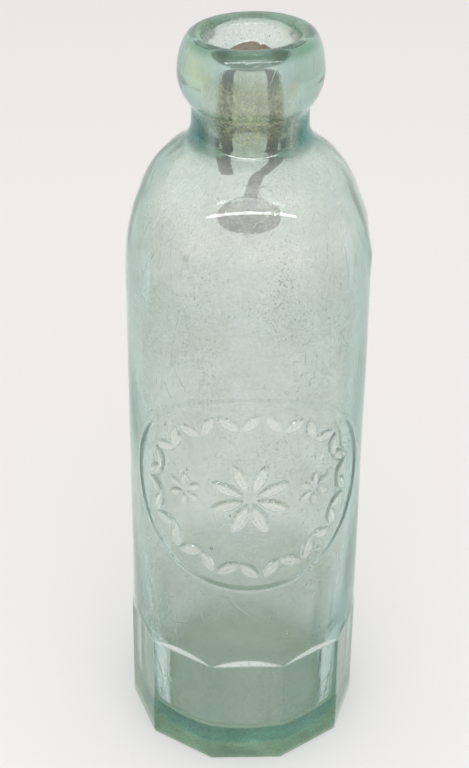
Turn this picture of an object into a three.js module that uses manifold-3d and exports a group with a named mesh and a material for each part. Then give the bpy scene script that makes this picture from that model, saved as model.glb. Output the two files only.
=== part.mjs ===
// A soda bottle of thick aqua glass with an internal spring stopper.
// Millimetres, +Z up. The bottle stands on z = 0 with its axis on Z.
// The oval plate on its front faces -Y.

import * as THREE from 'three';
import { mergeVertices } from 'three/addons/utils/BufferGeometryUtils.js';
import Module from 'manifold-3d';

// Bottle, inside
const boreRadius = 7.1;
const mouthFlare = 3.55;
const mouthDepth = 7.5;
const mouthLean = 0.3;
const throatBend = 2.4;
const domeDrop = 19;
const floorCorner = 3;

// Bottle, walls
const bodyWall = 4.3;
const neckWall = 6.1;
const baseThickness = 7.3;

// Bottle, outside
const bodyRadius = 28.5;
const bodyHeight = 129;
const shoulderRise = 29.4;
const shoulderFullness = 1.85;
const neckFillet = 4;
const neckLength = 9.6;
const lipOverhang = 3.1;
const lipUnderRise = 6.8;
const lipUnderFullness = 1.6;
const lipCrownRise = 8.9;
const rimInset = 3.3;
const rimRounding = 1.3;
const pushUpRadius = 19;
const pushUpHeight = 1.2;

// Panels round the base
const panelCount = 10;
const panelInset = 1;
const panelHeight = 30;
const ledgeSlope = 2.6;
const cornerFade = 3;
const heelHeight = 0.7;
const heelInset = 0.5;

// Raised oval border on the front of the body
const plateHalfWidth = 31.7;
const plateHalfHeight = 26.3;
const plateCentreHeight = 81;
const plateRimRadius = 0.6;
const plateRimStand = 0.35;

// Stopper
const wireRadius = 1.5;
const wireClearance = 0.1;
const loopSink = 2.3;
const freeLegLength = 26;
const tipTurnIn = 0.3;
const tipTurnRise = 4;
const stemLegLength = 17.9;
const stemBendRise = 15;
const stemBendPull = 4;
const stemLength = 1.1;
const stemClearance = 0.15;
const plateThickness = 0.6;
const plateEdge = 0.2;
const upperPlateRadius = 5.4;
const lowerPlateRadius = 5.9;
const sealOverlap = 0.3;
const gasketThickness = 1.6;
const gasketEdge = 0.6;
const headRadius = 2.4;
const headThickness = 1;

// Fineness of the faceted surfaces
const bottleSegments = 50;
const plateSegments = 40;
const headSegments = 20;
const wireSides = 10;
const wireSteps = 72;
const borderSteps = 72;
const borderSides = 6;

// Heights and radii that follow from the sizes above
const neckRadius = boreRadius + neckWall;
const lipRadius = neckRadius + lipOverhang;
const rimRadius = lipRadius - rimInset;
const mouthRadius = boreRadius + mouthFlare;
const innerRadius = bodyRadius - bodyWall;
const shoulderTop = bodyHeight + shoulderRise;
const lipBottom = shoulderTop + neckLength;
const lipMiddle = lipBottom + lipUnderRise;
const rimTop = lipMiddle + lipCrownRise;
const domeBase = bodyHeight - domeDrop;
const panelCorner = (bodyRadius - panelInset) / Math.cos(Math.PI / panelCount);
const loopHalfWidth = boreRadius - wireClearance - wireRadius;
const loopCentre = rimTop - loopSink - wireRadius - loopHalfWidth;
const stemBendTop = loopCentre - stemLegLength;
const stemBendBottom = stemBendTop - stemBendRise;
const stackTop = stemBendBottom - stemLength;
const stemHole = wireRadius + stemClearance;
const gasketRadius = boreRadius + sealOverlap;

const wasm = await Module();
wasm.setup();

// Closed solid for cutting and joining, from a geometry whose shared vertices are merged
function toSolid(geometry) {
  const bare = geometry.clone();
  bare.deleteAttribute('normal');
  bare.deleteAttribute('uv');
  const merged = mergeVertices(bare);
  const index = merged.index.array;
  const kept = [];
  for (let i = 0; i < index.length; i += 3) {
    const [a, b, c] = index.slice(i, i + 3);
    if (a !== b && b !== c && c !== a) kept.push(a, b, c);
  }
  const vertProperties = new Float32Array(merged.attributes.position.array);
  const triVerts = new Uint32Array(kept);
  return new wasm.Manifold(new wasm.Mesh({ numProp: 3, vertProperties, triVerts }));
}

function toGeometry(solid) {
  const mesh = solid.getMesh();
  const geometry = new THREE.BufferGeometry();
  geometry.setAttribute('position', new THREE.BufferAttribute(mesh.vertProperties, 3));
  geometry.setIndex(new THREE.BufferAttribute(mesh.triVerts, 1));
  geometry.computeVertexNormals();
  return geometry;
}

// Profile of radius and height turned about Z
function revolve(profile, segments, startAngle = 0) {
  const geometry = new THREE.LatheGeometry(profile, segments, startAngle);
  geometry.rotateX(Math.PI / 2);
  return geometry;
}

function point(radius, height) {
  return new THREE.Vector2(radius, height);
}

// Quarter of a superellipse between two angles in degrees; a fullness of 2 makes it an ellipse
function sweep(centre, reach, from, to, steps, fullness = 2) {
  const points = [];
  for (let i = 0; i <= steps; i += 1) {
    const angle = THREE.MathUtils.degToRad(THREE.MathUtils.lerp(from, to, i / steps));
    const across = Math.abs(Math.cos(angle)) ** (2 / fullness);
    const up = Math.abs(Math.sin(angle)) ** (2 / fullness);
    points.push(point(centre.x + reach.x * across, centre.y + reach.y * up));
  }
  return points;
}

// Height of the shoulder's curve at a radius
function shoulderHeight(radius) {
  const across = (radius - neckRadius) / (bodyRadius - neckRadius);
  return bodyHeight + shoulderRise * (1 - across ** shoulderFullness) ** (1 / shoulderFullness);
}

// Shoulder curve that stops at the neck's fillet, and the fillet up into the neck
function shoulderProfile() {
  const steps = 11;
  const filletSteps = 4;
  const slopeStep = 0.01;
  const start = neckRadius + neckFillet;
  const points = [];
  for (let i = 0; i <= steps; i += 1) {
    const across = Math.cos((i / steps) * (Math.PI / 2));
    const radius = start + (bodyRadius - start) * across;
    points.push(point(radius, shoulderHeight(radius)));
  }
  const foot = points[points.length - 1];
  const slope = (shoulderHeight(start - slopeStep) - foot.y) / slopeStep;
  const corner = point(neckRadius, foot.y + slope * neckFillet);
  const top = point(neckRadius, corner.y + neckFillet);
  const fillet = new THREE.QuadraticBezierCurve(foot, corner, top).getPoints(filletSteps);
  return [...points, ...fillet.slice(1)];
}

// Lip from its underside over the crown, the rounded rim and the flare of the mouth down to the bore
function lipProfile() {
  const underReach = point(lipOverhang, -lipUnderRise);
  const rounding = point(-rimRounding, rimRounding);
  const edge = rimTop - rimRounding;
  const flare = new THREE.CubicBezierCurve(
    point(mouthRadius, edge),
    point(mouthRadius - mouthLean, edge - mouthDepth / 4),
    point(boreRadius, rimTop - mouthDepth / 2),
    point(boreRadius, rimTop - mouthDepth),
  );
  return [
    ...sweep(point(neckRadius, lipMiddle), underReach, 90, 0, 6, lipUnderFullness),
    ...sweep(point(rimRadius, lipMiddle), point(rimInset, lipCrownRise), 0, 90, 6).slice(1),
    ...sweep(point(mouthRadius + rimRounding, edge), rounding, 90, 0, 3),
    ...flare.getPoints(7).slice(1),
  ];
}

// Inside from the bore through the throat and the dome of the shoulder to the floor
function cavityProfile() {
  const dome = new THREE.CubicBezierCurve(
    point(boreRadius, shoulderTop),
    point(boreRadius, shoulderTop - throatBend),
    point(innerRadius, shoulderTop),
    point(innerRadius, domeBase),
  );
  const corner = point(innerRadius - floorCorner, baseThickness + floorCorner);
  return [
    ...dome.getPoints(14),
    ...sweep(corner, point(floorCorner, -floorCorner), 0, 90, 6),
    point(0, baseThickness),
  ];
}

// Underside with its push-up, and the foot that is left wide enough for the corners between the panels
function baseProfile() {
  const dome = sweep(point(0, 0), point(pushUpRadius, pushUpHeight), 90, 0, 4);
  return [
    ...dome,
    point(panelCorner, 0),
    point(panelCorner, panelHeight),
    point(bodyRadius, panelHeight + cornerFade),
  ];
}

// Ten-sided form whose flat sides cut the panels, with a chamfered heel and a leaning ledge above each panel
function panelForm() {
  const halfAngle = Math.PI / panelCount;
  const heel = panelCorner - heelInset / Math.cos(halfAngle);
  const ledgeReach = 2 * panelInset;
  const profile = [
    point(0, 0),
    point(heel, 0),
    point(panelCorner, heelHeight),
    point(panelCorner, panelHeight),
    point(panelCorner + ledgeReach, panelHeight + ledgeReach * ledgeSlope),
    point(panelCorner + ledgeReach, rimTop + panelHeight),
    point(0, rimTop + panelHeight),
  ];
  return revolve(profile, panelCount, halfAngle);
}

// Oval ring laid round the body: a torus whose flat ring is wrapped on the cylinder
function plateBorder() {
  const geometry = new THREE.TorusGeometry(1, plateRimRadius, borderSides, borderSteps);
  const place = geometry.attributes.position;
  const seat = bodyRadius + plateRimStand - plateRimRadius;
  for (let i = 0; i < place.count; i += 1) {
    const turn = Math.atan2(place.getY(i), place.getX(i));
    const out = Math.hypot(place.getX(i), place.getY(i)) - 1;
    const along = (plateHalfWidth + out) * Math.cos(turn) / bodyRadius;
    const height = plateCentreHeight + (plateHalfHeight + out) * Math.sin(turn);
    const radius = seat + place.getZ(i);
    place.setXYZ(i, radius * Math.sin(along), -radius * Math.cos(along), height);
  }
  return geometry;
}

function bottleGlass() {
  const profile = [...baseProfile(), ...shoulderProfile(), ...lipProfile(), ...cavityProfile()];
  const round = toSolid(revolve(profile, bottleSegments));
  const panelled = round.intersect(toSolid(panelForm()));
  return toGeometry(panelled.add(toSolid(plateBorder())));
}

// Half circle over the top of the loop, from its free leg to its stem leg
class LoopArc extends THREE.Curve {
  getPoint(t, target = new THREE.Vector3()) {
    const angle = Math.PI * (1 - t);
    return target.set(loopHalfWidth * Math.cos(angle), 0, loopCentre + loopHalfWidth * Math.sin(angle));
  }
}

// One wire: turned-in tip, free leg, loop, stem leg, bend to the axis and stem
function wireRoute() {
  const flat = (x, z) => new THREE.Vector3(x, 0, z);
  const tip = loopCentre - freeLegLength;
  const stemEnd = stackTop - 2 * plateThickness - gasketThickness - stemClearance - headThickness / 2;
  const route = new THREE.CurvePath();
  route.add(new THREE.QuadraticBezierCurve3(
    flat(-loopHalfWidth + tipTurnIn, tip),
    flat(-loopHalfWidth, tip + tipTurnRise / 2),
    flat(-loopHalfWidth, tip + tipTurnRise),
  ));
  route.add(new THREE.LineCurve3(flat(-loopHalfWidth, tip + tipTurnRise), flat(-loopHalfWidth, loopCentre)));
  route.add(new LoopArc());
  route.add(new THREE.LineCurve3(flat(loopHalfWidth, loopCentre), flat(loopHalfWidth, stemBendTop)));
  route.add(new THREE.CubicBezierCurve3(
    flat(loopHalfWidth, stemBendTop),
    flat(loopHalfWidth, stemBendTop - stemBendPull),
    flat(0, stemBendBottom + stemBendPull),
    flat(0, stemBendBottom),
  ));
  route.add(new THREE.LineCurve3(flat(0, stemBendBottom), flat(0, stemEnd)));
  return route;
}

// Bent wire with the riveted head on its stem
function wireLoop() {
  const section = new THREE.Shape().absarc(0, 0, wireRadius, 0, 2 * Math.PI);
  const wire = new THREE.ExtrudeGeometry(section, {
    steps: wireSteps,
    curveSegments: wireSides / 2,
    bevelEnabled: false,
    extrudePath: wireRoute(),
  });
  const headTop = stackTop - 2 * plateThickness - gasketThickness - stemClearance;
  const head = revolve([
    point(0, headTop - headThickness),
    ...sweep(point(wireRadius, headTop), point(headRadius - wireRadius, -headThickness), 90, 0, 4),
    point(0, headTop),
  ], headSegments);
  return toGeometry(toSolid(wire).add(toSolid(head)));
}

// Disc with a hole for the stem and rounded outer edges, standing on height zero
function holedDisc(radius, thickness, edge) {
  const reach = radius - edge;
  return revolve([
    point(stemHole, 0),
    ...sweep(point(reach, edge), point(edge, -edge), 90, 0, 3),
    ...sweep(point(reach, thickness - edge), point(edge, edge), 0, 90, 3),
    point(stemHole, thickness),
    point(stemHole, 0),
  ], plateSegments);
}

function part(name, geometry, look) {
  const mesh = new THREE.Mesh(geometry, new THREE.MeshStandardMaterial(look));
  mesh.name = name;
  return mesh;
}

const glassLook = { color: 0xb7d0c6, roughness: 0.05, metalness: 0, transparent: true, opacity: 0.4 };
const wireLook = { color: 0x6f5f4c, roughness: 0.8, metalness: 0.5 };
const metalLook = { color: 0x8f8c80, roughness: 0.6, metalness: 0.8 };
const rubberLook = { color: 0x4b4a40, roughness: 0.9, metalness: 0 };

// Plates and gasket, stacked down from the underside of the stem's bend
function sealStack() {
  const stack = new THREE.Group();
  stack.position.z = stackTop;
  const upper = part('upper_plate', holedDisc(upperPlateRadius, plateThickness, plateEdge), metalLook);
  upper.position.z = -plateThickness;
  const gasket = part('rubber_gasket', holedDisc(gasketRadius, gasketThickness, gasketEdge), rubberLook);
  gasket.position.z = upper.position.z - gasketThickness;
  const lower = part('lower_plate', holedDisc(lowerPlateRadius, plateThickness, plateEdge), metalLook);
  lower.position.z = gasket.position.z - plateThickness;
  stack.add(upper, gasket, lower);
  return stack;
}

const stopper = new THREE.Group();
stopper.add(sealStack(), part('wire_loop', wireLoop(), wireLook));

const bottle = new THREE.Group();
bottle.add(part('bottle_glass', bottleGlass(), glassLook), stopper);

export default bottle;
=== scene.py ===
# Looks of an old aqua glass soda bottle with an internal spring stopper.
import math

import bpy
import numpy as np
from mathutils import Matrix, Vector


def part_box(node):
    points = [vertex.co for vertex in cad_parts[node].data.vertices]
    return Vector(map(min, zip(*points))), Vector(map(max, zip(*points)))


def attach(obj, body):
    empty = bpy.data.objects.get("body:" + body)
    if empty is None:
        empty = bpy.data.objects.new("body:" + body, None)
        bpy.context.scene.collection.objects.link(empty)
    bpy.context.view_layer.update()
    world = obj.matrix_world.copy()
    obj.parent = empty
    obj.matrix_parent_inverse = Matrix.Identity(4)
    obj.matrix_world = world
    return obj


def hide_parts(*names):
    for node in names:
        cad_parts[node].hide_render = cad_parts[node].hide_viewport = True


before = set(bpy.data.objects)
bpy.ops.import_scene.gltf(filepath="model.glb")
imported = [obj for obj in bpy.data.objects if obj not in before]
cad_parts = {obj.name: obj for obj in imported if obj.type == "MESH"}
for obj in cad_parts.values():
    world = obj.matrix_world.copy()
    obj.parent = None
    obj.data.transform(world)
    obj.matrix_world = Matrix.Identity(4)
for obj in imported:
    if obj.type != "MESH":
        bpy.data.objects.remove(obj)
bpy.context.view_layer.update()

# Sizes are in millimetres and become metres where a mesh is made
MM = 0.001
SEED = 1887

# Bottle, outside
BODY_RADIUS = 28.5
BODY_HEIGHT = 129.0
SHOULDER_RISE = 29.4
SHOULDER_FULLNESS = 1.85
NECK_RADIUS = 13.2
NECK_FILLET = 4.0
NECK_LENGTH = 9.6
LIP_OVERHANG = 3.1
LIP_UNDER_RISE = 6.8
LIP_UNDER_FULLNESS = 1.6
RIM_INSET = 3.3
RIM_ROUNDING = 1.3
RIM_LEAN = 0.028
PUSH_UP_RADIUS = 19.0
PUSH_UP_HEIGHT = 1.2

# Bottle, inside
MOUTH_RADIUS = 10.65
MOUTH_DEPTH = 7.5
MOUTH_LEAN = 0.3
BORE_RADIUS = 7.1
THROAT_BEND = 2.4
DOME_DROP = 19.0
BODY_WALL = 4.3
BASE_THICKNESS = 7.3
FLOOR_CORNER = 3.0
FLOOR_MIDDLE = 1.5

# Panels round the foot
PANEL_COUNT = 10
PANEL_INSET = 1.0
PANEL_HEIGHT = 30.0
LEDGE_SLOPE = 2.6
LEDGE_TOP = 38.0
CORNER_FADE = 3.0
CORNER_ROUNDING = 0.12
HEEL_HEIGHT = 0.7
HEEL_INSET = 0.5

# Oval plate on the front
PLATE_HALF_WIDTH = 31.7
PLATE_HALF_HEIGHT = 26.3
PLATE_CENTRE = 81.0
PLATE_MARGIN = 1.5
BORDER_WIDTH = 0.55
BORDER_STAND = 0.4

# Wreath and rosettes in the oval
ORNAMENT_STAND = 0.7
ORNAMENT_EDGE = 0.7
WREATH_SHARE = 0.78
WREATH_LEAVES = 30
WREATH_LEAN = 0.75
LEAF_HALF_LENGTH = 3.4
LEAF_HALF_WIDTH = 1.6
VEIN_DEPTH = 0.35
VEIN_WIDTH = 0.35
PETAL_SHARE = 0.44
MIDDLE_ROSETTE = {"petals": 8, "reach": 10.5, "half_width": 1.6}
SIDE_ROSETTE = {"petals": 6, "reach": 5.2, "half_width": 1.15}
SIDE_ROSETTE_OUT = 16.0

# Columns of the glass mesh, in degrees from the front
FINE_END = 68.0
FINE_STEP = 0.8
COARSE_START = 72.0
COARSE_STEP = 3.0
BESIDE_CORNER = 0.6

# Unevenness of the blown glass
OUTER_WAVE = 0.035
INNER_WAVE = 0.16
SHOULDER_RIPPLE = 0.08

# Bubbles in the wall: ranges to draw from, and how often one is low or big
BUBBLE_COUNT = 60
BUBBLE_HEIGHTS = (14, 140)
LOW_BUBBLE_HEIGHTS = (10, 40)
LOW_BUBBLE_EVERY = 4
BUBBLE_RADII = (0.12, 0.34)
BIG_BUBBLE_EVERY = 9
BIG_BUBBLE_SCALE = 1.5
BUBBLE_DEPTHS = (0.25, 0.7)
BUBBLE_STRETCHES = (1, 1.9)

# Worn raised places, and a pale film painted on the panels' ledges as their highlight, from 0 to 1
ORNAMENT_WEAR = 0.24
LEDGE_PAINTED_HIGHLIGHT = 0.6

# Bands of marks on the glass by height: start, full, still full, end
RIPPLED = (118, 136, 156, 163)
LOW_BORE = (154, 158, 174, 177)
HIGH_BORE = (160, 166, 174, 177)
MOUTH_FLARE = (176, 180, 181.5, 183)
THROAT = (154, 158, 163, 167)
SHOULDER = (126, 146, 157, 161)
NECK = (157, 162, 166, 170)
FLANK = (130, 140, 156, 160)
BODY_FILM = (104, 120, 132, 142)

# Heights over which a mark begins that goes on to the top, or ends that comes from the bottom
CROWN_START = (138, 150)
MOUTH_START = (170, 176)
LIP_START = (165, 172)
RIM_START = (181, 183)
LOW_BACK_END = (30, 44)
SOLE_END = (0.7, 1.6)

# Distances from the middle over which a mark begins: x to either side, y towards the back
SIDE_START = (6, 11)
LOW_SIDE_START = (17, 21)
THROAT_SIDE_START = (3, 6)
NECK_SIDE_START = (7, 11)
FLANK_SIDE_START = (8, 14)
BACK_START = (-4, 5)
LOW_BACK_START = (0, 9)
CORNER_BACK_START = (0, 18)
THROAT_BACK_START = (-5, -2)

# Residue on the floor and in its corner, and a smudge under the shoulder
FLOOR_RESIDUE_END = (0.5, 3)
CORNER_RESIDUE_RISE = 1.5
CORNER_RESIDUE_SPREAD = 2.4
SMUDGE_PLACE = (6, 134)
SMUDGE_SPREAD = (3, 9)

# How strongly each place of the glass is stained or clouded, from 0 to 1
RESIDUE_SHARES = {"bore": 0.75, "flare": 0.48, "bottom": 0.7, "corner": 0.5, "smudge": 0.15}
# The cloud at the throat and the neck carries painted dark teal shade, and the sole's scuffed haze
# carries a painted green tint
INNER_CLOUD_SHARES = {"crown": 0.5, "mouth": 0.28, "throat": 0.6, "low_inside": 1.0, "film": 1.0}
OUTER_CLOUD_SHARES = {"shoulder": 0.25, "neck": 0.6, "sole": 0.7, "low_back": 0.35}

# Stopper
WIRE_RADIUS = 1.5
WIRE_STEP = 0.3
WIRE_SIDES = 16
TIP_TURN_IN = 0.3
TIP_TURN_RISE = 4.0
TIP_SHARE = 0.5
FREE_LEG_LENGTH = 26.0
STEM_LEG_LENGTH = 17.9
STEM_BEND_RISE = 15.0
STEM_BEND_PULL = 4.0
STEM_HOLE = 1.65
HEAD_RADIUS = 2.4
HEAD_THICKNESS = 1.0
HEAD_MIDDLE = 0.05
HEAD_DENTS = 0.03
HEAD_SEGMENTS = 40
DISC_SEGMENTS = 72
PLATE_FORM = {"edge": 0.2, "bulge": 0.0, "dents": 0.02}
GASKET_FORM = {"edge": 0.6, "bulge": 0.03, "dents": 0.03}

# Rust on the wire
PIT_DEPTH = 0.06
PIT_LIMITS = (-0.2, 0.14)
LUMP_SHIFT = 7
CRUST_STAND = 0.3
CRUST_REACH = 6.0
SPLIT_ASIDE = 1.7
SPLIT_DEPTH = 0.5
SPLIT_WIDTH = 0.28

# Places that follow from the frame and from the sizes above
RIM_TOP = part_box("bottle_glass")[1].z / MM
SHOULDER_TOP = BODY_HEIGHT + SHOULDER_RISE
LIP_BOTTOM = SHOULDER_TOP + NECK_LENGTH
LIP_MIDDLE = LIP_BOTTOM + LIP_UNDER_RISE
INNER_RADIUS = BODY_RADIUS - BODY_WALL
APOTHEM = BODY_RADIUS - PANEL_INSET
PANEL_CORNER = APOTHEM / math.cos(math.pi / PANEL_COUNT)

# Heights over which the looks of the glass and the wire change
RING_TO_HOLLOW = (0.1, 0.6)
SOLE_TO_WALL = (1.2, 2.0)
SOLE_TO_NECK = (10, 20)
FLOOR_TO_BORE = (12, 30)
BORE_TO_FLARE = (172, 177)
FOOT_TO_BODY = (36, 50)
BODY_TO_CROWN = (134, 150)
ROUGH_TO_SMOOTH = (115, 140)
LOW_TO_HIGH_LIP = (171, 178)
DEEP_SIDE_END = (120, 150)
BRIGHT_SIDE_START = (136, 148)
DEEP_NECK_START = (155, 160)
DEEP_NECK_END = (165, 170)
WORN_LOOP_START = (174, 179)

# Colours of the glass and of what lies on it, and of the shade and tints painted on it
CLEAR = (1.0, 1.0, 1.0)
OUTER_DUST = (0.92, 0.925, 0.87)
INNER_DUST = (0.78, 0.77, 0.7)
# Tints painted where the glass is thick: green under the sole over its scuffed haze, and dark teal shade
# at the throat and the neck
SOLE_RING = (0.62, 0.72, 0.48)
SOLE_HOLLOW = (0.53, 0.78, 0.65)
NECK_PAINTED_TEAL_SHADE = (0.06, 0.25, 0.22)
# Aqua to olive painted on the hazy lip as the deeper colour of its thick glass
LIP_AQUA = (0.85, 0.95, 0.94)
LIP_OLIVE = (0.88, 0.95, 0.62)
# Dark green painted on the rim as the shade of the thick lip glass beneath it
RIM_PAINTED_SHADE = (0.29, 0.51, 0.33)
DARK_RESIDUE = (0.27, 0.25, 0.13)
PALE_RESIDUE = (0.76, 0.69, 0.42)
FLOOR_RESIDUE = (0.4, 0.46, 0.33)
FLARE_RESIDUE = (0.4, 0.46, 0.29)
DARK_MARK = (0.16, 0.2, 0.16)
# Painted shade where the glass is seen at a slant, deeper on the right, with a painted pale patch on the
# right of the shoulder
EDGE_AQUA = (0.5, 0.69, 0.66)
EDGE_TEAL = (0.28, 0.53, 0.49)
EDGE_PAINTED_PALE = (0.8, 0.89, 0.86)
EDGE_NECK = (0.1, 0.3, 0.26)
THROUGH_GLASS = (0.0, 0.41, 0.32)
PALE_SHADOW = (0.87, 0.87, 0.87)

# Stage, in metres and degrees
TABLE_SIZE = 40.0
TABLE_GAP = 0.0001
LAMP_AIM = Vector((0, 0, 0.15))
LAMP_DISTANCE = 0.8


def sweep(centre, reach, start, end, steps, fullness=2.0):
    """Part of a superellipse between two angles in degrees, as rows of radius and height."""
    angle = np.radians(np.linspace(start, end, steps + 1))
    across = np.abs(np.cos(angle)) ** (2 / fullness)
    up = np.abs(np.sin(angle)) ** (2 / fullness)
    return np.stack([centre[0] + reach[0] * across, centre[1] + reach[1] * up], 1)


def bezier(start, pull_start, pull_end, end, steps):
    t = np.linspace(0, 1, steps + 1)[:, None]
    a, b, c, d = (np.array(p, float) for p in (start, pull_start, pull_end, end))
    return (1 - t) ** 3 * a + 3 * t * (1 - t) ** 2 * b + 3 * t**2 * (1 - t) * c + t**3 * d


def line(start, end, steps):
    t = np.linspace(0, 1, steps + 1)[:, None]
    return (1 - t) * np.array(start, float) + t * np.array(end, float)


def ease(low, high, value):
    """Smooth step from 0 at the low value to 1 at the high one."""
    t = np.clip((value - low) / (high - low), 0, 1)
    return t * t * (3 - 2 * t)


def between(low, high, share):
    return low + (high - low) * share


def band(start, full, fading, end, value):
    """Smooth step up from 0 to 1 and down again."""
    return ease(start, full, value) * (1 - ease(fading, end, value))


def waves(seed, count, turns, length):
    """Smooth uneven surface of about unit height over angle and height, the same on each run."""
    rng = np.random.default_rng(seed)
    turn = rng.integers(0, turns + 1, count)
    rise = rng.uniform(-1, 1, count) * 2 * math.pi / length
    phase = rng.uniform(0, 2 * math.pi, count)
    size = math.sqrt(2 / count)

    def height(theta, z):
        total = np.zeros(np.broadcast(theta, z).shape)
        for m, k, p in zip(turn, rise, phase):
            total += np.sin(m * theta + k * z + p)
        return size * total

    return height


def build_mesh(name, points, faces, material, body, node):
    """Smooth mesh object from points in millimetres, riding on a body in place of a CAD node."""
    mesh = bpy.data.meshes.new(name)
    mesh.from_pydata((np.asarray(points) * MM).tolist(), [], faces)
    mesh.polygons.foreach_set("use_smooth", [True] * len(mesh.polygons))
    mesh.update()
    mesh.materials.append(material)
    piece = bpy.data.objects.new(name, mesh)
    bpy.context.scene.collection.objects.link(piece)
    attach(piece, body)
    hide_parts(node)
    return piece


def grid_faces(rows, columns, first=0):
    """Quads between rings of points, each ring closed on itself."""
    index = first + np.arange(rows * columns).reshape(rows, columns)
    beside = np.roll(index, -1, 1)
    quads = np.stack([index[:-1], beside[:-1], beside[1:], index[1:]], 2)
    return quads.reshape(-1, 4).tolist()


def fan_faces(middle, ring):
    """Triangles from a middle point to each side of a ring of points."""
    return [[middle, int(a), int(b)] for a, b in zip(ring, np.roll(ring, -1))]


# Form of the glass


def columns():
    """Angles of the glass mesh, close together on the front and at the panels' corners."""
    corners = 360 / PANEL_COUNT * (np.arange(PANEL_COUNT) + 0.5)
    angles = np.concatenate([
        np.arange(-FINE_END, FINE_END + FINE_STEP / 2, FINE_STEP),
        np.arange(COARSE_START, 360 - COARSE_START + COARSE_STEP / 2, COARSE_STEP),
        corners - BESIDE_CORNER,
        corners + BESIDE_CORNER,
    ])
    return np.radians(np.unique(np.round(angles % 360, 3)))


def shoulder_height(radius):
    across = (radius - NECK_RADIUS) / (BODY_RADIUS - NECK_RADIUS)
    return BODY_HEIGHT + SHOULDER_RISE * (1 - across**SHOULDER_FULLNESS) ** (1 / SHOULDER_FULLNESS)


def shoulder_profile():
    """Shoulder curve up to the fillet at the neck, and the fillet."""
    curve_steps, fillet_steps, slope_step = 21, 10, 0.01
    start = NECK_RADIUS + NECK_FILLET
    turn = np.linspace(0, math.pi / 2, curve_steps + 1)[1:]
    radius = start + (BODY_RADIUS - start) * np.cos(turn)
    curve = np.stack([radius, shoulder_height(radius)], 1)
    foot = curve[-1]
    slope = (shoulder_height(start - slope_step) - foot[1]) / slope_step
    corner = np.array([NECK_RADIUS, foot[1] + slope * NECK_FILLET])
    top = corner + np.array([0, NECK_FILLET])
    t = np.linspace(0, 1, fillet_steps + 1)[1:, None]
    fillet = (1 - t) ** 2 * foot + 2 * t * (1 - t) * corner + t**2 * top
    return np.concatenate([curve, fillet])


def lip_profile():
    """The lip from under its overhang up to the top of the rim."""
    rim_radius = NECK_RADIUS + LIP_OVERHANG - RIM_INSET
    under = (LIP_OVERHANG, -LIP_UNDER_RISE)
    crown = (RIM_INSET, RIM_TOP - LIP_MIDDLE)
    return np.concatenate([
        sweep((NECK_RADIUS, LIP_MIDDLE), under, 90, 0, steps=10, fullness=LIP_UNDER_FULLNESS),
        sweep((rim_radius, LIP_MIDDLE), crown, 0, 90, steps=12)[1:],
    ])


def mouth_profile():
    """The rounded inner edge of the rim, and the mouth narrowing to the bore."""
    edge = RIM_TOP - RIM_ROUNDING
    rounding = (-RIM_ROUNDING, RIM_ROUNDING)
    return np.concatenate([
        sweep((MOUTH_RADIUS + RIM_ROUNDING, edge), rounding, 90, 0, steps=6),
        bezier(
            (MOUTH_RADIUS, edge),
            (MOUTH_RADIUS - MOUTH_LEAN, edge - MOUTH_DEPTH / 4),
            (BORE_RADIUS, RIM_TOP - MOUTH_DEPTH / 2),
            (BORE_RADIUS, RIM_TOP - MOUTH_DEPTH),
            steps=12,
        )[1:],
    ])


def cavity_profile():
    """The bore, the dome under the shoulder, the inner wall and the floor."""
    dome_base = BODY_HEIGHT - DOME_DROP
    corner = (INNER_RADIUS - FLOOR_CORNER, BASE_THICKNESS + FLOOR_CORNER)
    dome = bezier(
        (BORE_RADIUS, SHOULDER_TOP),
        (BORE_RADIUS, SHOULDER_TOP - THROAT_BEND),
        (INNER_RADIUS, SHOULDER_TOP),
        (INNER_RADIUS, dome_base),
        steps=30,
    )
    return np.concatenate([
        line((BORE_RADIUS, RIM_TOP - MOUTH_DEPTH), (BORE_RADIUS, SHOULDER_TOP), steps=7)[1:-1],
        dome,
        line((INNER_RADIUS, dome_base), (INNER_RADIUS, corner[1]), steps=13)[1:-1],
        sweep(corner, (FLOOR_CORNER, -FLOOR_CORNER), 0, 90, steps=7),
        line((corner[0], BASE_THICKNESS), (FLOOR_MIDDLE, BASE_THICKNESS), steps=5)[1:],
    ])


def foot_radius(theta, z):
    """Outside radius where flat panels cut the foot with rounded corners, and where a panel makes it."""
    pitch = 2 * math.pi / PANEL_COUNT
    from_middle = (theta + pitch / 2) % pitch - pitch / 2
    apothem = APOTHEM - HEEL_INSET * np.clip(1 - z / HEEL_HEIGHT, 0, 1)
    apothem = apothem + np.clip(z - PANEL_HEIGHT, 0, None) / LEDGE_SLOPE
    panel = apothem / np.cos(from_middle)
    fade = np.clip((z - PANEL_HEIGHT) / CORNER_FADE, 0, 1)
    blank = PANEL_CORNER + (BODY_RADIUS - PANEL_CORNER) * fade
    share = np.clip(0.5 + 0.5 * (blank - panel) / CORNER_ROUNDING, 0, 1)
    return blank * (1 - share) + panel * share - CORNER_ROUNDING * share * (1 - share), share


def leaf(across, up, centre, angle, half_length, half_width):
    """Raised leaf with steep sides and a vein along its middle, with a height of about one."""
    x = across - centre[0]
    y = up - centre[1]
    along = (x * math.cos(angle) + y * math.sin(angle)) / half_length
    beside = np.abs(y * math.cos(angle) - x * math.sin(angle))
    depth = half_width * (1 - along**2) - beside
    vein = VEIN_DEPTH * np.exp(-((beside / VEIN_WIDTH) ** 2))
    return ease(0, ORNAMENT_EDGE, depth) * (1 - vein)


def rosette(across, up, aside, petals, reach, half_width):
    """Petals round a middle at some distance aside, each one a leaf."""
    half_length = PETAL_SHARE * reach
    out = reach - half_length
    shapes = []
    for i in range(petals):
        turn = 2 * math.pi * (i + 0.5) / petals
        centre = (aside + out * math.cos(turn), out * math.sin(turn))
        shapes.append(leaf(across, up, centre, turn, half_length, half_width))
    return np.maximum.reduce(shapes)


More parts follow.
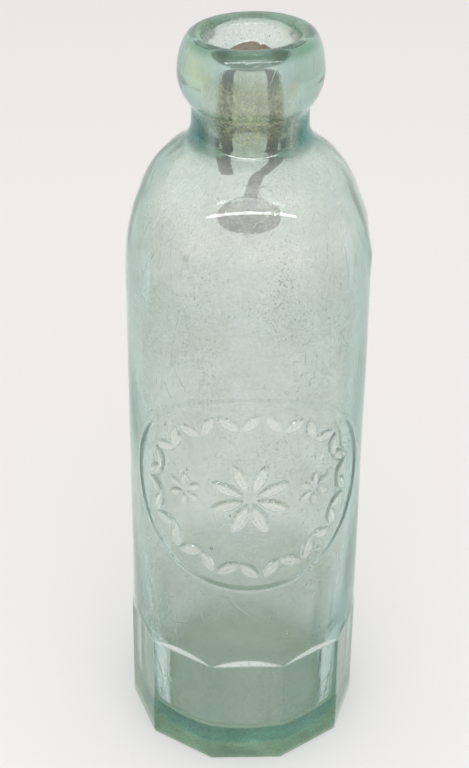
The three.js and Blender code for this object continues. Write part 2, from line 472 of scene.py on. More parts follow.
def wreath(across, up):
    """Leaves along an oval inside the border, leaning in and out by turns."""
    half_width = WREATH_SHARE * PLATE_HALF_WIDTH
    half_height = WREATH_SHARE * PLATE_HALF_HEIGHT
    shapes = []
    for i in range(WREATH_LEAVES):
        turn = 2 * math.pi * (i + 0.5) / WREATH_LEAVES
        centre = (half_width * math.cos(turn), half_height * math.sin(turn))
        tangent = math.atan2(half_height * math.cos(turn), -half_width * math.sin(turn))
        angle = tangent + (WREATH_LEAN if i % 2 else -WREATH_LEAN)
        shapes.append(leaf(across, up, centre, angle, LEAF_HALF_LENGTH, LEAF_HALF_WIDTH))
    return np.maximum.reduce(shapes)


def plate_border(across, up):
    """Raised line round the oval plate, one high in its middle."""
    tiny = 1e-9
    wide, tall = across / PLATE_HALF_WIDTH, up / PLATE_HALF_HEIGHT
    reach = np.hypot(wide, tall) + tiny
    steepness = np.hypot(wide / PLATE_HALF_WIDTH, tall / PLATE_HALF_HEIGHT) / reach + tiny
    return np.exp(-(((reach - 1) / steepness / BORDER_WIDTH) ** 2))


def plate_ornament(across, up):
    """Plain wreath and rosettes inside the border, about one high."""
    return np.maximum.reduce([
        wreath(across, up),
        rosette(across, up, 0, **MIDDLE_ROSETTE),
        rosette(across, up, -SIDE_ROSETTE_OUT, **SIDE_ROSETTE),
        rosette(across, up, SIDE_ROSETTE_OUT, **SIDE_ROSETTE),
    ])


def bubble_points(rng, first):
    """Air bubbles drawn out along the wall, as points and inward-facing triangles."""
    bpy.ops.mesh.primitive_ico_sphere_add(subdivisions=2, radius=1)
    ball = bpy.context.object
    shape = np.array([v.co for v in ball.data.vertices])
    sides = [list(p.vertices)[::-1] for p in ball.data.polygons]
    bpy.data.objects.remove(ball)
    points, faces = [], []
    for i in range(BUBBLE_COUNT):
        theta = rng.uniform(-math.pi, math.pi)
        z = rng.uniform(*(BUBBLE_HEIGHTS if i % LOW_BUBBLE_EVERY else LOW_BUBBLE_HEIGHTS))
        size = rng.uniform(*BUBBLE_RADII) * (1 if i % BIG_BUBBLE_EVERY else BIG_BUBBLE_SCALE)
        wall = BODY_RADIUS - BODY_WALL * rng.uniform(*BUBBLE_DEPTHS)
        middle = np.array([wall * math.sin(theta), -wall * math.cos(theta), z])
        stretch = np.array([size, size, size * rng.uniform(*BUBBLE_STRETCHES)])
        points.append(middle + shape * stretch)
        faces += [[first + i * len(shape) + v for v in side] for side in sides]
    return np.concatenate(points), faces


def body_heights():
    """Heights of the rows up the body, close together at the ledge and on the plate."""
    under_ledge = PANEL_HEIGHT - 0.5
    plate_reach = PLATE_HALF_HEIGHT + PLATE_MARGIN
    stretches = (
        (HEEL_HEIGHT, 4),
        (under_ledge, 8),
        (LEDGE_TOP, 23),
        (PLATE_CENTRE - plate_reach, 6),
        (PLATE_CENTRE + plate_reach, 147),
        (BODY_HEIGHT, 9),
    )
    start, heights = 0.0, []
    for end, rows in stretches:
        heights.append(np.linspace(start, end, rows + 1)[1:])
        start = end
    return np.concatenate(heights)


def body_row(theta, z):
    """Radius, height, worn places with the painted ledge highlight, and the darkened ornament foot round
    the body at one height.
    """
    across = BODY_RADIUS * ((theta + math.pi) % (2 * math.pi) - math.pi)
    up = np.full_like(across, z - PLATE_CENTRE)
    ornament = plate_ornament(across, up)
    relief = BORDER_STAND * plate_border(across, up) + ORNAMENT_STAND * ornament
    radius, panel = foot_radius(theta, z)
    ledge = panel * ease(-0.3, 0.5, z - PANEL_HEIGHT)
    # Pale haze painted on the ledges as their highlight; on the ornament it marks rubbed tops
    wear_and_ledge_highlight = np.maximum(ORNAMENT_WEAR * ease(0.3, 0.8, ornament), LEDGE_PAINTED_HIGHLIGHT * ledge)
    # Darker ring round the foot of the ornament
    ornament_foot_dark = band(0, 0.2, 0.2, 0.5, ornament)
    return radius + relief, z, wear_and_ledge_highlight, ornament_foot_dark


def glass_rows(theta):
    """Radius, height, worn places with the painted ledge highlight, and the darkened ornament foot at
    each row and column: outside from the bottom up, inside down.
    """
    hollow_start, sole_shares, under_lip = 85, (0.5, 0.9, 1.0), LIP_BOTTOM - 1
    hollow = sweep((0, 0), (PUSH_UP_RADIUS, PUSH_UP_HEIGHT), hollow_start, 0, steps=6)
    sole_width = foot_radius(theta, 0.0)[0] - PUSH_UP_RADIUS
    sole = [(PUSH_UP_RADIUS + sole_width * share, 0.0) for share in sole_shares]
    body = [body_row(theta, z) for z in body_heights()]
    outside = [*hollow, *sole, *body, *shoulder_profile(), (NECK_RADIUS, under_lip), *lip_profile()]
    inside = [*mouth_profile(), *cavity_profile()]

    def spread(rows):
        clean = (0.0, 0.0)
        filled = [(*row, *clean)[:4] for row in rows]
        return np.array([[np.broadcast_to(value, theta.shape) for value in row] for row in filled])

    return spread(outside), spread(inside)


def unevenness(theta, radius, height, is_inside):
    """How far the blown surface strays from its radius: long waves, and ripples at the shoulder."""
    outer = waves(SEED, count=16, turns=7, length=45)(theta, height)
    inner = waves(SEED + 1, count=18, turns=5, length=38)(theta, height)
    ripple = waves(SEED + 8, count=30, turns=26, length=8)(theta, height)
    rippled = band(*RIPPLED, height) * ease(0.5, 1.0, np.abs(np.sin(theta)))
    outside = (OUTER_WAVE * outer + SHOULDER_RIPPLE * rippled * ripple) * ease(0.5, 8, height)
    inside = INNER_WAVE * inner * ease(12, 24, height)
    return np.where(is_inside, inside, outside) * ease(6, 20, radius)


def glass_piece(material):
    """The blown bottle: one closed skin outside and inside, slightly uneven, with bubbles in its wall."""
    theta = columns()
    outside, inside = glass_rows(theta)
    radius, height, wear_and_ledge_highlight, ornament_foot_dark = np.concatenate([outside, inside]).transpose(1, 0, 2)
    is_inside = np.zeros(radius.shape, bool)
    is_inside[len(outside):] = True
    radius = radius + unevenness(theta, radius, height, is_inside)
    x = radius * np.sin(theta)
    y = -radius * np.cos(theta)
    height = height + RIM_LEAN * x * ease(LIP_BOTTOM, RIM_TOP, height)
    skin = np.stack([x, y, height], 2).reshape(-1, 3)
    low, high, first_bubble = len(skin), len(skin) + 1, len(skin) + 2
    middles = np.array([[0, 0, PUSH_UP_HEIGHT], [0, 0, BASE_THICKNESS]])
    bubbles, bubble_faces = bubble_points(np.random.default_rng(SEED + 2), first_bubble)
    points = np.concatenate([skin, middles, bubbles])
    rows, count = radius.shape
    ring = np.arange(count)
    faces = grid_faces(rows, count)
    faces += fan_faces(low, ring[::-1])
    faces += fan_faces(high, ring + (rows - 1) * count)
    faces += bubble_faces
    piece = build_mesh("blown_glass", points, faces, material, "bottle", "bottle_glass")
    smooth = np.zeros(len(bubbles))
    fields = glass_fields(points, np.concatenate([is_inside.ravel(), [0, 1], smooth]))
    fields["wear_and_ledge_highlight"] = np.concatenate([wear_and_ledge_highlight.ravel(), [0, 0], smooth])
    fields["ornament_foot_dark"] = np.concatenate([ornament_foot_dark.ravel(), [0, 0], smooth])
    for name, values in fields.items():
        field = piece.data.attributes.new(name, "FLOAT", "POINT")
        field.data.foreach_set("value", values.astype(np.float32))
    return piece


# Marks on the glass, and shade and tints painted on it


def glass_places(x, y, z):
    """Places on the glass by name, each from 0 to 1."""
    aside = np.abs(x)
    above_floor = z - BASE_THICKNESS
    above_corner = (above_floor - CORNER_RESIDUE_RISE) / CORNER_RESIDUE_SPREAD
    smudge_x = (x - SMUDGE_PLACE[0]) / SMUDGE_SPREAD[0]
    smudge_z = (z - SMUDGE_PLACE[1]) / SMUDGE_SPREAD[1]
    back = ease(*BACK_START, y)
    front = 1 - back
    side = ease(*SIDE_START, aside)
    lining = between(band(*LOW_BORE, z), band(*HIGH_BORE, z), 0.6)
    low_back = ease(*LOW_BACK_START, y) * (1 - ease(*LOW_BACK_END, z))
    throat_beside = ease(*THROAT_SIDE_START, aside) * ease(*THROAT_BACK_START, y)
    touches_table, hollow_edge = 0.1, PUSH_UP_RADIUS + 1
    beneath = (z < touches_table) | (np.hypot(x, y) < hollow_edge)
    return {
        "bore": lining * between(0.45, 1.0, front),
        "flare": band(*MOUTH_FLARE, z) * front,
        "bottom": 1 - ease(*FLOOR_RESIDUE_END, above_floor),
        "corner": np.exp(-(above_corner**2)) * ease(*CORNER_BACK_START, y),
        "smudge": np.exp(-(smudge_x**2) - smudge_z**2) * front,
        "crown": ease(*CROWN_START, z) * side,
        "mouth": ease(*MOUTH_START, z) * back,
        "throat": band(*THROAT, z) * throat_beside,
        "low_inside": low_back * between(0.5, 0.85, ease(*LOW_SIDE_START, aside)),
        "film": between(0.16, 0.26, band(*BODY_FILM, z)),
        "shoulder": band(*SHOULDER, z),
        "neck": band(*NECK, z) * ease(*NECK_SIDE_START, aside),
        "sole": np.where(beneath, 1 - ease(*SOLE_END, z), 0),
        "low_back": low_back,
        "flank": band(*FLANK, z) * ease(*FLANK_SIDE_START, aside),
        "lip": ease(*LIP_START, z) * between(0.4, 1.0, side),
        "rim": ease(*RIM_START, z) * between(0.7, 1.0, side),
    }


def strongest(places, shares):
    """The largest of several places at each point, each one scaled by its share."""
    return np.maximum.reduce([share * places[name] for name, share in shares.items()])


def glass_fields(points, inside):
    """Where the glass is stained by residue, clouded, or given painted tints and shade, from 0 to 1."""
    places = glass_places(*points.T)
    outside = 1 - inside
    inner_cloud = strongest(places, INNER_CLOUD_SHARES)
    outer_cloud = strongest(places, OUTER_CLOUD_SHARES)
    outer_painted_thick_tint = np.maximum(places["neck"], places["sole"])
    return {
        "inside": inside,
        "residue": inside * strongest(places, RESIDUE_SHARES),
        "cloud": inside * inner_cloud + outside * outer_cloud,
        "painted_thick_tint": np.maximum(inside * places["throat"], outside * outer_painted_thick_tint),
        "smudge": inside * places["smudge"],
        "flank": outside * places["flank"],
        "lip": outside * places["lip"],
        "rim": places["rim"],
    }


# Stopper


def wire_route():
    """Middle line of the bent wire, from its free tip over the loop and down to the stem's head."""
    low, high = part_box("wire_loop")
    half_width = high.x / MM - WIRE_RADIUS
    loop_centre = high.z / MM - WIRE_RADIUS - half_width
    tip = loop_centre - FREE_LEG_LENGTH
    bend_top = loop_centre - STEM_LEG_LENGTH
    bend_bottom = bend_top - STEM_BEND_RISE
    arc_points = 60
    turn = np.linspace(math.pi, 0, arc_points)
    arc = np.stack([half_width * np.cos(turn), loop_centre + half_width * np.sin(turn)], 1)
    tip_turn = bezier(
        (-half_width + TIP_TURN_IN, tip),
        (-half_width, tip + TIP_TURN_RISE / 3),
        (-half_width, tip + 2 * TIP_TURN_RISE / 3),
        (-half_width, tip + TIP_TURN_RISE),
        steps=12,
    )
    bend = bezier(
        (half_width, bend_top),
        (half_width, bend_top - STEM_BEND_PULL),
        (0, bend_bottom + STEM_BEND_PULL),
        (0, bend_bottom),
        steps=40,
    )
    stem = np.array([[0, low.z / MM + HEAD_THICKNESS / 2]])
    flat = np.concatenate([tip_turn, arc, bend, stem])
    lengths = np.concatenate([[0], np.cumsum(np.hypot(*np.diff(flat, axis=0).T))])
    places = np.linspace(0, lengths[-1], int(lengths[-1] / WIRE_STEP))
    x = np.interp(places, lengths, flat[:, 0])
    z = np.interp(places, lengths, flat[:, 1])
    return np.stack([x, np.zeros_like(x), z], 1), places


def wire_pits(rows):
    """Pits and scale over the wire's rows and sides, smoothed with their neighbours."""
    pits = np.random.default_rng(SEED + 3).standard_normal((rows, WIRE_SIDES))
    for axis in (0, 0, 1):
        pits = (np.roll(pits, 1, axis) + pits + np.roll(pits, -1, axis)) / 3
    return PIT_DEPTH * pits / pits.std()


def wire_radius(route, places, ring):
    """Radius of the wire at each row and side, with pits, a crusted tip and a split in the loop."""
    pits = wire_pits(len(route))
    from_split = np.hypot(route[:, 0] - SPLIT_ASIDE, route[:, 2] - route[:, 2].max())
    split = places[np.argmin(from_split)]
    groove = SPLIT_DEPTH * np.exp(-(((places - split) / SPLIT_WIDTH) ** 2))
    lumps = np.clip(0.6 + 0.6 * np.roll(pits, LUMP_SHIFT, 0) / PIT_DEPTH, 0, 1.6)
    at_tip = np.exp(-((places / CRUST_REACH) ** 2))
    inward = ease(-0.5, 0.2, ring[:, :, 0])
    crust = CRUST_STAND * at_tip[:, None] * lumps * inward
    radius = WIRE_RADIUS + np.clip(pits, *PIT_LIMITS) + crust - groove[:, None]
    radius[[0, -1]] = TIP_SHARE * WIRE_RADIUS
    return radius


def stem_head(first):
    """Points and faces of the riveted head at the lower end of the stem."""
    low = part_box("wire_loop")[0].z / MM
    high = low + HEAD_THICKNESS
    crown = sweep((WIRE_RADIUS, high), (HEAD_RADIUS - WIRE_RADIUS, -HEAD_THICKNESS), 90, 0, steps=8)
    profile = np.array([(HEAD_MIDDLE, low), *crown, (HEAD_MIDDLE, high)])
    return turned(profile, HEAD_SEGMENTS, HEAD_DENTS, SEED + 4, first)


def wire_piece(material):
    """Rusted wire with its loop and legs, and the riveted head of the stem."""
    route, places = wire_route()
    along = np.gradient(route, axis=0)
    along /= np.linalg.norm(along, axis=1)[:, None]
    across = np.array([0.0, 1.0, 0.0])
    beside = np.cross(along, across)
    turn = np.arange(WIRE_SIDES) * 2 * math.pi / WIRE_SIDES
    ring = np.cos(turn)[None, :, None] * across + np.sin(turn)[None, :, None] * beside[:, None, :]
    radius = wire_radius(route, places, ring)
    points = (route[:, None, :] + radius[:, :, None] * ring).reshape(-1, 3)
    tip = list(range(WIRE_SIDES))
    stem_end = [len(points) - WIRE_SIDES + k for k in tip]
    head, head_faces = stem_head(len(points))
    faces = grid_faces(len(route), WIRE_SIDES)
    faces += [tip[::-1], stem_end]
    faces += head_faces
    every = np.concatenate([points, head])
    return build_mesh("rusted_wire", every, faces, material, "loop", "wire_loop")


def turned(profile, segments, dents, seed, first=0):
    """Points and faces of a closed profile turned about the axis, with shallow dents."""
    theta = np.arange(segments) * 2 * math.pi / segments
    radius, height = profile[:, :1], profile[:, 1:]
    dent = dents * waves(seed, count=14, turns=9, length=6)(theta[None, :], height)
    dented = radius + dent / 2
    points = np.stack([dented * np.sin(theta), -dented * np.cos(theta), height + dent], 2)
    faces = grid_faces(len(profile), segments, first)
    closing = grid_faces(2, segments)
    offset = (len(profile) - 1) * segments
    faces += [[first + (offset + v if v < segments else v - segments) for v in f] for f in closing]
    return points.reshape(-1, 3), faces


def disc_piece(name, node, slot, seed, material, edge, bulge, dents):
    """Disc with a hole for the stem and rounded, slightly bulging edges, as large as its CAD node."""
    low, high = (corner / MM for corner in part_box(node))
    radius, reach = high.x, high.x - edge
    steps = 8
    profile = np.concatenate([
        line((STEM_HOLE, low.z), (reach, low.z), steps)[:-1],
        sweep((reach, low.z + edge), (edge, -edge), 90, 0, steps),
        [(radius + bulge, (low.z + high.z) / 2)],
        sweep((reach, high.z - edge), (edge, edge), 0, 90, steps),
        line((reach, high.z), (STEM_HOLE, high.z), steps)[1:],
    ])
    points, faces = turned(profile, DISC_SEGMENTS, dents, seed)
    return build_mesh(name, points, faces, material, "seal", node)


# Materials


class Shader:
    """A new material with short calls for the nodes used here."""

    def __init__(self, name):
        self.material = bpy.data.materials.new(name)
        self.material.use_nodes = True
        self.tree = self.material.node_tree
        self.surface = self.tree.nodes["Principled BSDF"]
        self.output = self.tree.nodes["Material Output"]
        self.place = self.node("ShaderNodeTexCoord").outputs["Object"]

    def node(self, kind, **settings):
        made = self.tree.nodes.new(kind)
        for key, value in settings.items():
            setattr(made, key, value)
        return made

    def link(self, source, target):
        self.tree.links.new(source, target)

    def put(self, target, value):
        if isinstance(value, bpy.types.NodeSocket):
            self.link(value, target)
        else:
            target.default_value = value

    def set(self, **inputs):
        for name, value in inputs.items():
            self.put(self.surface.inputs[name.replace("_", " ")], value)

    def stretched(self, scale):
        mapping = self.node("ShaderNodeMapping")
        mapping.inputs["Scale"].default_value = scale
        self.link(self.place, mapping.inputs["Vector"])
        return mapping.outputs["Vector"]

    def noise(self, scale, detail=2.0, roughness=0.5, vector=None):
        """Smooth noise about a half, with the given number of features to the metre."""
        made = self.node("ShaderNodeTexNoise")
        self.link(vector or self.place, made.inputs["Vector"])
        made.inputs["Scale"].default_value = scale
        made.inputs["Detail"].default_value = detail
        made.inputs["Roughness"].default_value = roughness
        return made.outputs["Fac"]

    def cracks(self, scale, vector=None):
        """Distance from the lines of an irregular net."""
        made = self.node("ShaderNodeTexVoronoi", feature="DISTANCE_TO_EDGE")
        self.link(vector or self.place, made.inputs["Vector"])
        made.inputs["Scale"].default_value = scale
        return made.outputs["Distance"]

    def along(self, axis):
        """Place along an axis in millimetres."""
        apart = self.node("ShaderNodeSeparateXYZ")
        self.link(self.place, apart.inputs[0])
        return self.math("DIVIDE", apart.outputs[axis], MM)

    def field(self, name):
        return self.node("ShaderNodeAttribute", attribute_name=name).outputs["Fac"]

    def math(self, operation, a, b=0.0):
        made = self.node("ShaderNodeMath", operation=operation)
        self.put(made.inputs[0], a)
        self.put(made.inputs[1], b)
        return made.outputs[0]

    def times(self, value, *others):
        for other in others:
            value = self.math("MULTIPLY", value, other)
        return value

    def most(self, value, *others):
        for other in others:
            value = self.math("MAXIMUM", value, other)
        return value

    def fit(self, value, low, high, to_low=0.0, to_high=1.0):
        """Smooth step between two values, from one result to another."""
        made = self.node("ShaderNodeMapRange", interpolation_type="SMOOTHSTEP")
        for socket, given in zip(made.inputs[:5], (value, low, high, to_low, to_high)):
            self.put(socket, given)
        return made.outputs[0]

    def blend(self, share, a, b):
        made = self.node("ShaderNodeMix", data_type="RGBA")
        self.put(made.inputs[0], share)
        for socket, colour in zip(made.inputs[6:8], (a, b)):
            self.put(socket, colour if isinstance(colour, bpy.types.NodeSocket) else (*colour, 1))
        return made.outputs[2]

    def bump(self, height, depth):
        """Uneven surface with a depth in millimetres."""
        made = self.node("ShaderNodeBump")
        made.inputs["Strength"].default_value = 1.0
        made.inputs["Distance"].default_value = depth * MM
        self.link(height, made.inputs["Height"])
        self.link(made.outputs[0], self.surface.inputs["Normal"])


def glass_marks(s, smear):
    """Dark specks and cracks inside, a darkened ring round the foot of the ornament, and scuffs on the
    shoulder.
    """
    smudge = s.field("smudge")
    dots = s.math("ADD", s.noise(2200, 2, 0.6), s.times(smudge, 0.07))
    dotted = s.most(smudge, s.fit(s.noise(38, 1), 0.42, 0.6))
    speck = s.times(s.fit(dots, 0.63, 0.7), dotted)
    crack = s.times(s.fit(s.cracks(30), 0.008, 0.003), s.fit(s.noise(110, 1), 0.58, 0.64), 0.16)
    inner = s.times(s.most(speck, crack), s.field("inside"), 0.45)
    ornament_foot_dark = s.times(s.field("ornament_foot_dark"), s.fit(smear, 0.35, 0.65, 0.1, 0.4))
    scuff = s.fit(s.noise(1.0, 3, 0.7, s.stretched((900, 900, 420))), 0.54, 0.6)
    scuff = s.times(scuff, s.fit(s.noise(95, 1), 0.48, 0.6), s.field("flank"), 0.14)
    return s.most(inner, ornament_foot_dark, scuff)


def glass_film(s, grain):
    """Streaks of dried residue."""
    streak = s.noise(1.0, 3, 0.65, s.stretched((700, 700, 60)))
    film = s.times(s.field("residue"), s.fit(streak, 0.25, 0.7, 0.5, 1.0))
    return s.times(film, s.fit(grain, 0.35, 0.6, 0.5, 1.0))


def glass_haze(s, smear, grain):
    """Clouded glass, worn high places with a painted highlight on the panels' ledges, and the hazy lip.
    """
    cloud = s.times(s.field("cloud"), s.fit(smear, 0.3, 0.7, 0.5, 1.3))
    cloud = s.times(cloud, s.fit(grain, 0.35, 0.65, 0.8, 1.2))
    wear_and_ledge_highlight = s.times(s.field("wear_and_ledge_highlight"), s.fit(grain, 0.3, 0.6, 0.7, 1.2))
    # Hazy lip, which carries the aqua to olive painted as the colour of its thick glass
    lip = s.times(s.field("lip"), s.fit(smear, 0.35, 0.65, 0.1, 0.32))
    return s.most(cloud, wear_and_ledge_highlight, lip)


def residue_colour(s, grain, height):
    """Ochre in the bore, greener on the floor and in the mouth."""
    bore = s.blend(s.fit(grain, 0.3, 0.7), DARK_RESIDUE, PALE_RESIDUE)
    low = s.blend(s.fit(height, *FLOOR_TO_BORE), FLOOR_RESIDUE, bore)
    return s.blend(s.fit(height, *BORE_TO_FLARE), low, FLARE_RESIDUE)


def haze_colour(s, height):
    """Greyer inside the body; dark teal shade painted at the throat and the neck, green tint painted on
    the scuffed sole, and aqua to olive painted at the lip, each standing in for the deeper colour of
    thick glass.
    """
    body = s.times(s.field("inside"), s.fit(height, *BODY_TO_CROWN, 1.0, 0.0))
    dust = s.blend(body, OUTER_DUST, INNER_DUST)
    sole = s.blend(s.fit(height, *RING_TO_HOLLOW), SOLE_RING, SOLE_HOLLOW)
    teal = s.blend(s.fit(height, *SOLE_TO_NECK), sole, NECK_PAINTED_TEAL_SHADE)
    lip = s.blend(s.fit(height, *LOW_TO_HIGH_LIP), LIP_AQUA, LIP_OLIVE)
    return s.blend(s.field("lip"), s.blend(s.field("painted_thick_tint"), dust, teal), lip)


def slant_shade_share(s, height):
    """How much painted shade the bare glass takes where it is seen at a slant, standing in for the deeper
    colour where more of it lies in the way.
    """
    slant = s.node("ShaderNodeLayerWeight")
    slant.inputs["Blend"].default_value = 0.5
    start = s.fit(height, *FOOT_TO_BODY, 0.12, 0.35)
    end = s.fit(height, *FOOT_TO_BODY, 0.66, 0.85)
    covered = s.most(s.field("inside"), s.field("wear_and_ledge_highlight"))
    bare = s.times(s.math("SUBTRACT", 1.0, covered), s.fit(height, *SOLE_TO_WALL))
    return s.times(s.fit(slant.outputs["Facing"], start, end), bare)


def slant_shade_colour(s, height):
    """Painted shade for slanted glass: deeper on the right of the body, a painted pale patch on the right
    of the shoulder, deepest at the neck.
    """
    aside = s.along("X")
    right = s.times(s.fit(aside, -10, 20), s.fit(height, *DEEP_SIDE_END, 1.0, 0.0))
    bright = s.times(s.fit(aside, 0, 14), s.fit(height, *BRIGHT_SIDE_START))
    neck = s.times(s.fit(height, *DEEP_NECK_START), s.fit(height, *DEEP_NECK_END, 1.0, 0.0))
    body = s.blend(right, EDGE_AQUA, EDGE_TEAL)
    return s.blend(neck, s.blend(bright, body, EDGE_PAINTED_PALE), EDGE_NECK)


def glass_bump(s):
    """Fine waves of the skin, with pits and scratches in it."""
    pit = s.times(s.fit(s.noise(1250, 2, 0.6), 0.6, 0.68), s.fit(s.noise(64, 1), 0.48, 0.6))
    worn = s.math("ADD", s.noise(85, 1), s.times(s.field("flank"), 0.13))
    scratch = s.fit(s.cracks(1.0, s.stretched((190, 190, 70))), 0.025, 0.006)
    scratch = s.times(scratch, s.fit(worn, 0.56, 0.66, 0.0, 0.8))
    hollow = s.times(s.most(pit, scratch), 2.5)
    s.bump(s.math("SUBTRACT", s.noise(240, 3, 0.6), hollow), depth=0.02)


def glass_depth(s):
    """Colour that light takes on along its way through the glass."""
    absorb = s.node("ShaderNodeVolumeAbsorption")
    absorb.inputs["Color"].default_value = (*THROUGH_GLASS, 1)
    absorb.inputs["Density"].default_value = 36
    s.link(absorb.outputs[0], s.output.inputs["Volume"])


def pale_shadow(s):
    """Lamps and diffuse light pass the glass on a straight way."""
    path = s.node("ShaderNodeLightPath")
    through = s.most(path.outputs["Is Shadow Ray"], path.outputs["Is Diffuse Ray"])
    clear = s.node("ShaderNodeBsdfTransparent")
    clear.inputs["Color"].default_value = (*PALE_SHADOW, 1)
    either = s.node("ShaderNodeMixShader")
    for source, target in zip((through, s.surface.outputs[0], clear.outputs[0]), either.inputs):
        s.link(source, target)
    s.link(either.outputs[0], s.output.inputs["Surface"])


def glass_material():
    """Aqua glass, hazy and stained inside, that lets lamps and diffuse light through."""
    s = Shader("aged_aqua_glass")
    height = s.along("Z")
    smear = s.noise(55, 3, 0.6)
    grain = s.noise(1500, 3, 0.7)
    mark = glass_marks(s, smear)
    film = glass_film(s, grain)
    haze = glass_haze(s, smear, grain)
    colour = s.blend(s.fit(haze, 0.0, 0.3), CLEAR, haze_colour(s, height))
    colour = s.blend(s.fit(film, 0.0, 0.4), colour, residue_colour(s, grain, height))
    colour = s.blend(s.fit(mark, 0.0, 0.4), colour, DARK_MARK)
    # Dark green painted on the rim as the shade of the thick lip glass beneath it
    colour = s.blend(s.times(s.field("rim"), 0.95), colour, RIM_PAINTED_SHADE)
    # Painted shade where the glass is seen at a slant
    colour = s.blend(slant_shade_share(s, height), colour, slant_shade_colour(s, height))
    smoother_outside = s.fit(s.field("inside"), 0, 1, 0.2, 1.0)
    s.set(
        Base_Color=colour,
        Transmission_Weight=s.math("SUBTRACT", 1.0, s.most(haze, film, mark)),
        Roughness=s.times(s.fit(height, *ROUGH_TO_SMOOTH, 0.11, 0.035), smoother_outside),
        IOR=1.5,
    )
    glass_bump(s)
    glass_depth(s)
    pale_shadow(s)
    return s.material


def rust_material():
    """Dark scale with paler patches and rusty spots, worn on the part of the loop that is pulled."""
    s = Shader("rusted_wire")
    scale = s.noise(900, 4, 0.65)
    patch = s.noise(220, 3, 0.6)
    spot = s.fit(s.noise(420, 3, 0.6), 0.54, 0.66, 0.0, 0.45)
    worn = s.fit(s.along("Z"), *WORN_LOOP_START)
    dark = s.blend(scale, (0.02, 0.022, 0.014), (0.075, 0.074, 0.045))
    pale = s.blend(scale, (0.11, 0.11, 0.07), (0.24, 0.23, 0.15))
    brown = s.blend(scale, (0.13, 0.11, 0.08), (0.32, 0.275, 0.225))
    rust = (0.15, 0.085, 0.045)
    bare = s.most(worn, s.fit(patch, 0.5, 0.68, 0.0, 0.5))
    coat = s.blend(bare, dark, s.blend(worn, pale, brown))
    s.set(
        Base_Color=s.blend(spot, coat, rust),
        Metallic=s.fit(patch, 0.6, 0.75, 0.0, 0.35),
        Roughness=s.fit(scale, 0.3, 0.7, 0.7, 0.95),
    )
    s.bump(scale, depth=0.12)
    return s.material


def plate_material():
    """Dull metal with dirty stains."""
    s = Shader("stained_plate")
    stain = s.noise(350, 4, 0.65)
    pit = s.noise(1400, 2, 0.6)
    bare = s.blend(pit, (0.25, 0.24, 0.145), (0.43, 0.41, 0.27))
    dirty = s.blend(pit, (0.08, 0.078, 0.045), (0.19, 0.182, 0.11))
    s.set(
        Base_Color=s.blend(s.fit(stain, 0.46, 0.55), bare, dirty),
        Metallic=s.fit(stain, 0.4, 0.6, 0.3, 0.05),
        Roughness=s.fit(pit, 0.3, 0.7, 0.45, 0.8),
    )
    s.bump(pit, depth=0.06)
    return s.material


def rubber_material():
    """Old dark rubber with a paler bloom."""
    s = Shader("aged_rubber")
    bloom = s.fit(s.noise(300, 4, 0.6), 0.42, 0.62)
    grain = s.noise(1800, 2, 0.5)
    old = s.blend(grain, (0.05, 0.049, 0.03), (0.13, 0.125, 0.08))
    bloomed = (0.2, 0.19, 0.11)
    s.set(
        Base_Color=s.blend(bloom, old, bloomed),
        Roughness=s.fit(grain, 0.3, 0.7, 0.75, 0.95),
    )
    s.bump(grain, depth=0.08)
    return s.material


def table_material():
    """Nearly white card."""
    s = Shader("pale_table")
    fibre = s.noise(900, 3, 0.6)
    s.set(
        Base_Color=s.blend(fibre, (0.852, 0.83, 0.822), (0.868, 0.846, 0.838)),
        Roughness=0.9,
    )
    return s.material


# Stage


def floor():
    """Table just under the bottle, so that the two surfaces don't lie in each other."""
    bpy.ops.mesh.primitive_plane_add(size=TABLE_SIZE, location=(0, 0, -TABLE_GAP))
    table = bpy.context.object
    table.name = "table"
    table.data.materials.append(table_material())


def lamp(name, width, height, power, elevation):
    """Rectangular lamp in front of the bottle and above it, aimed at the shoulder."""
    light = bpy.data.lights.new(name, "AREA")
    light.shape = "RECTANGLE"
    light.size = width
    light.size_y = height
    light.energy = power
    holder = bpy.data.objects.new(name, light)
    bpy.context.scene.collection.objects.link(holder)
    rise = math.radians(elevation)
    holder.location = LAMP_AIM + LAMP_DISTANCE * Vector((0, -math.cos(rise), math.sin(rise)))
    holder.rotation_euler = (LAMP_AIM - holder.location).to_track_quat("-Z", "Y").to_euler()
    return light


def soften(light):
    """Make a lamp fade from its middle to its edges."""
    middle, edge = (0.5, 0.5, 0), 0.5
    light.use_nodes = True
    tree = light.node_tree
    place = tree.nodes.new("ShaderNodeNewGeometry").outputs["Parametric"]
    apart = tree.nodes.new("ShaderNodeVectorMath")
    apart.operation = "DISTANCE"
    tree.links.new(place, apart.inputs[0])
    apart.inputs[1].default_value = middle
    fade = tree.nodes.new("ShaderNodeMapRange")
    fade.interpolation_type = "SMOOTHSTEP"
    tree.links.new(apart.outputs["Value"], fade.inputs["Value"])
    for socket, value in zip(fade.inputs[1:5], (0.0, edge, 1.0, 0.0)):
        socket.default_value = value
    tree.links.new(fade.outputs[0], tree.nodes["Emission"].inputs["Strength"])


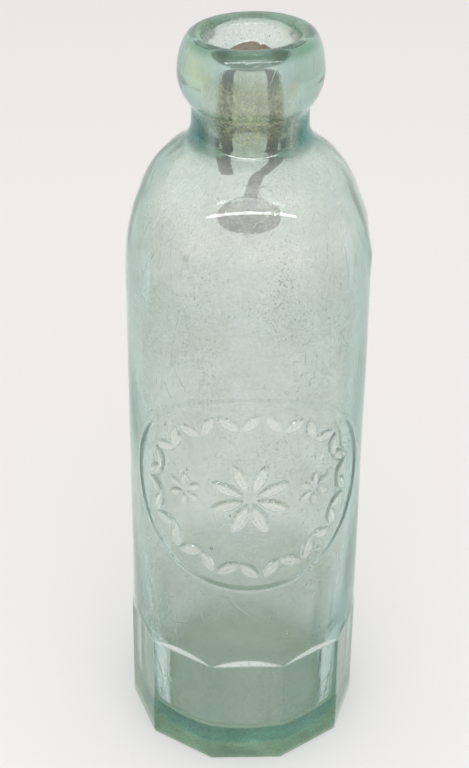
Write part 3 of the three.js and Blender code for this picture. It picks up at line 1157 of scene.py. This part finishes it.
def studio_light():
    """Even white surroundings, a long narrow lamp for the highlights and a soft one for their glow."""
    scene = bpy.context.scene
    scene.world = bpy.data.worlds.new("studio")
    scene.world.use_nodes = True
    backdrop = scene.world.node_tree.nodes["Background"]
    backdrop.inputs["Color"].default_value = (1, 0.995, 0.99, 1)
    backdrop.inputs["Strength"].default_value = 0.88
    lamp("strip", width=1.5, height=0.04, power=2.5, elevation=37.5)
    soften(lamp("glow", width=1.1, height=0.26, power=3.6, elevation=44))


def camera():
    """Camera of the photograph, found by fitting the bottle's outline in its 469 x 768 frame."""
    picture_height, focal_pixels, sensor = 768, 1763.2, 36.0
    pitch, roll, yaw, turn = (math.radians(a) for a in (30.729, 0.573, -0.458, -2.45))
    place = Vector((0, -0.36617, 0.31270))
    lens = bpy.data.cameras.new("photo")
    lens.sensor_width = sensor
    lens.lens = focal_pixels / picture_height * sensor
    lens.clip_start = 0.01
    ahead = Vector((math.sin(yaw) * math.cos(pitch), math.cos(yaw) * math.cos(pitch), -math.sin(pitch)))
    level = Vector((math.cos(yaw), -math.sin(yaw), 0))
    above = level.cross(ahead)
    right = level * math.cos(roll) + above * math.sin(roll)
    up = above * math.cos(roll) - level * math.sin(roll)
    stand = Matrix((right, up, -ahead)).transposed().to_4x4()
    stand.translation = place
    eye = bpy.data.objects.new("photo", lens)
    bpy.context.scene.collection.objects.link(eye)
    eye.matrix_world = Matrix.Rotation(turn, 4, "Z") @ stand
    bpy.context.scene.camera = eye


def long_paths():
    """Light in thick glass is reflected many times before it comes out."""
    cycles = bpy.context.scene.cycles
    cycles.max_bounces = 32
    cycles.transmission_bounces = 32
    cycles.glossy_bounces = 32
    cycles.transparent_max_bounces = 16


camera()
glass_piece(glass_material())
wire_piece(rust_material())
metal = plate_material()
disc_piece("worn_upper_plate", "upper_plate", "plate_metal", SEED + 5, metal, **PLATE_FORM)
disc_piece("aged_gasket", "rubber_gasket", "rubber", SEED + 6, rubber_material(), **GASKET_FORM)
disc_piece("worn_lower_plate", "lower_plate", "plate_metal", SEED + 7, metal, **PLATE_FORM)
floor()
studio_light()
long_paths()
bpy.context.scene.view_settings.view_transform = "Standard"
